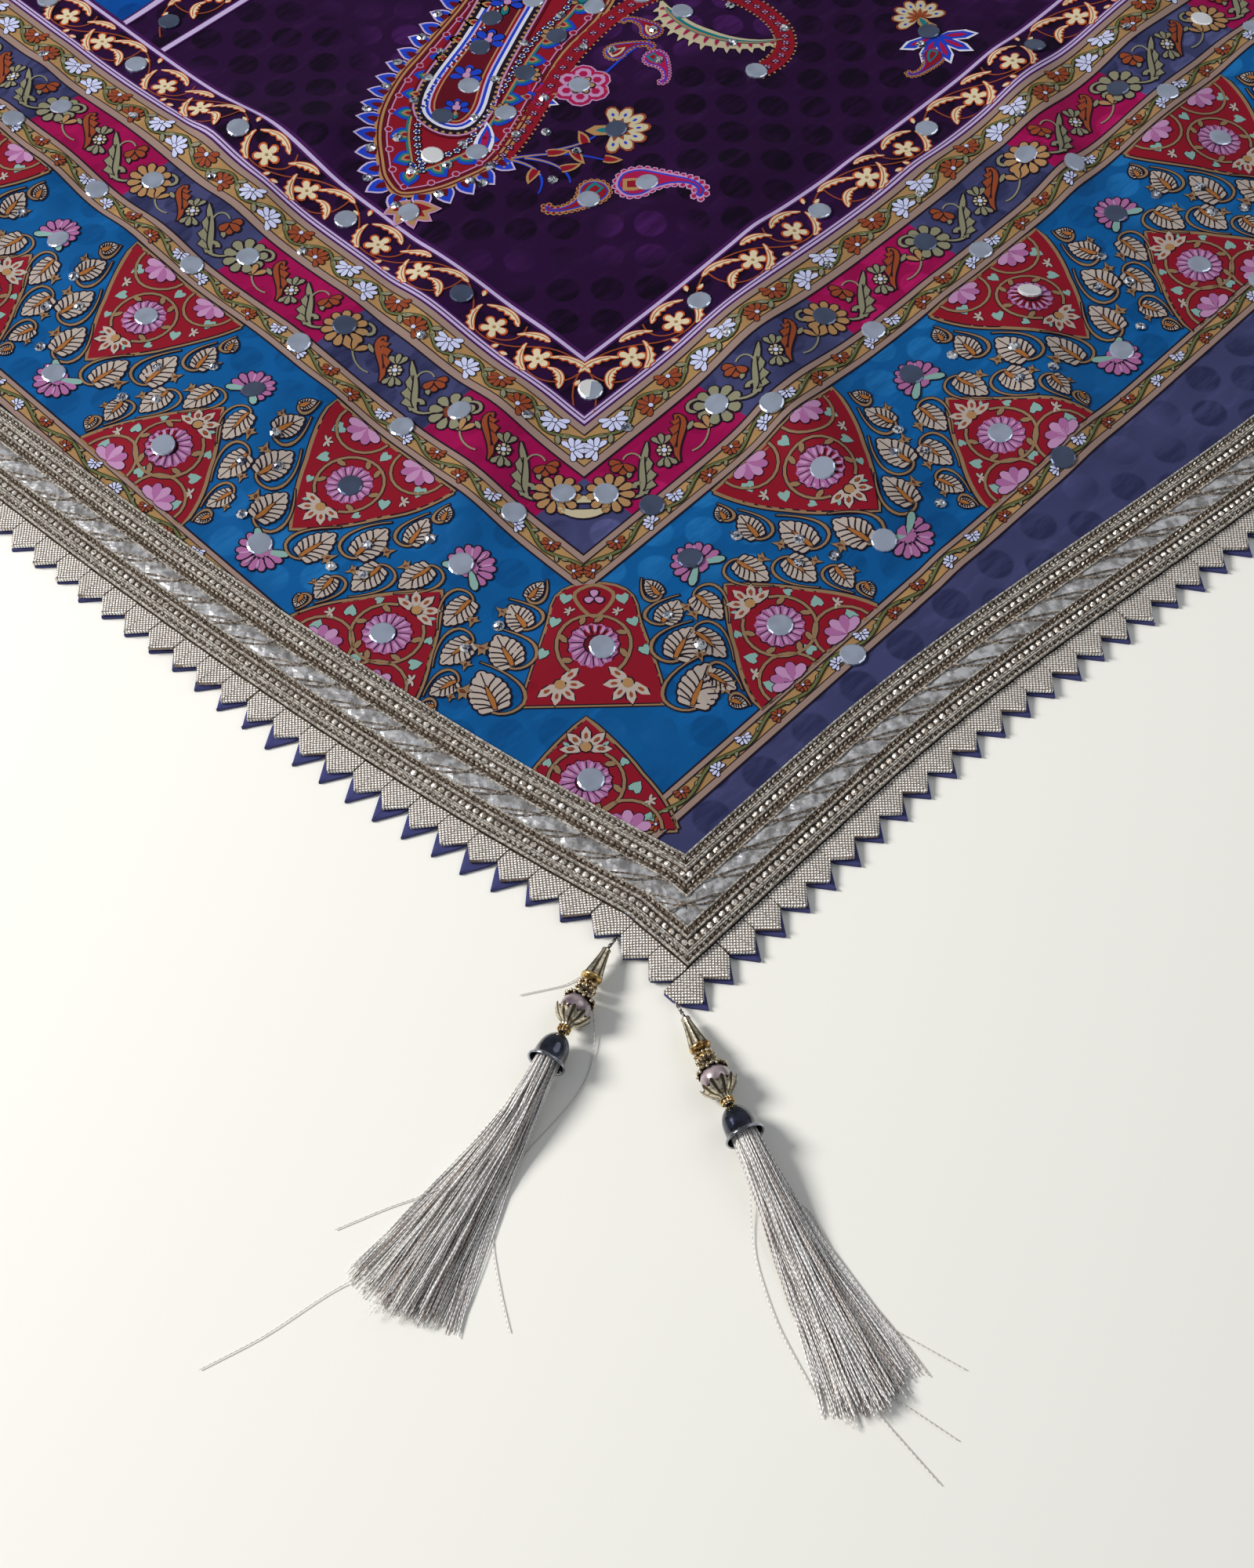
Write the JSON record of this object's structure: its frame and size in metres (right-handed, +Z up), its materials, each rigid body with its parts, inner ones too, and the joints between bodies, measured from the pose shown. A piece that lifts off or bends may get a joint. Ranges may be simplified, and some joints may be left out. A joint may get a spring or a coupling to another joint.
{
  "type": "dupatta stole",
  "caption": "Printed satin dupatta stole, folded in half and laid flat, with a toothed silver lace border, small mirrors and beaded corner tassels.",
  "frame": {"origin": "on the flat underside, below the middle of the folded cloth", "axes": "+Z up from the surface it lies on, +Y along the long sides towards the fold, +X along the short end"},
  "size_m": [0.9419, 1.1452, 0.0102],
  "materials": {
    "print_cloth": "satin print with a soft nap",
    "slate_cloth": "satin",
    "silver_lace": "woven metallic thread",
    "antique_metal": "antique silver-gold",
    "pearl": "pearly",
    "dark_chrome": "dark polished",
    "silver_thread": "lustrous thread"
  },
  "bodies": {
    "root": {"bell_near_lower": "dark_chrome", "bell_near_upper": "dark_chrome", "bell_side_lower": "dark_chrome", "bell_side_upper": "dark_chrome", "cap_near_lower": "antique_metal", "cap_near_upper": "antique_metal", "cap_side_lower": "antique_metal", "cap_side_upper": "antique_metal", "cloth_lower": "slate_cloth", "cloth_upper": "print_cloth", "cone_near_lower": "antique_metal", "cone_near_upper": "antique_metal", "cone_side_lower": "antique_metal", "cone_side_upper": "antique_metal", "cup_near_lower": "antique_metal", "cup_near_upper": "antique_metal", "cup_side_lower": "antique_metal", "cup_side_upper": "antique_metal", "fringe_near_lower": "silver_thread", "fringe_near_upper": "silver_thread", "fringe_side_lower": "silver_thread", "fringe_side_upper": "silver_thread", "lace_end": "silver_lace", "lace_left": "silver_lace", "lace_right": "silver_lace", "pearl_near_lower": "pearl", "pearl_near_upper": "pearl", "pearl_side_lower": "pearl", "pearl_side_upper": "pearl", "spacer_near_lower": "antique_metal", "spacer_near_upper": "antique_metal", "spacer_side_lower": "antique_metal", "spacer_side_upper": "antique_metal", "teeth_end": "silver_lace", "teeth_left": "silver_lace", "teeth_right": "silver_lace", "thread_near_lower": "silver_thread", "thread_near_upper": "silver_thread", "thread_side_lower": "silver_thread", "thread_side_upper": "silver_thread", "under_teeth_end": "slate_cloth", "under_teeth_left": "slate_cloth", "under_teeth_right": "slate_cloth"}
  },
  "joints": []
}
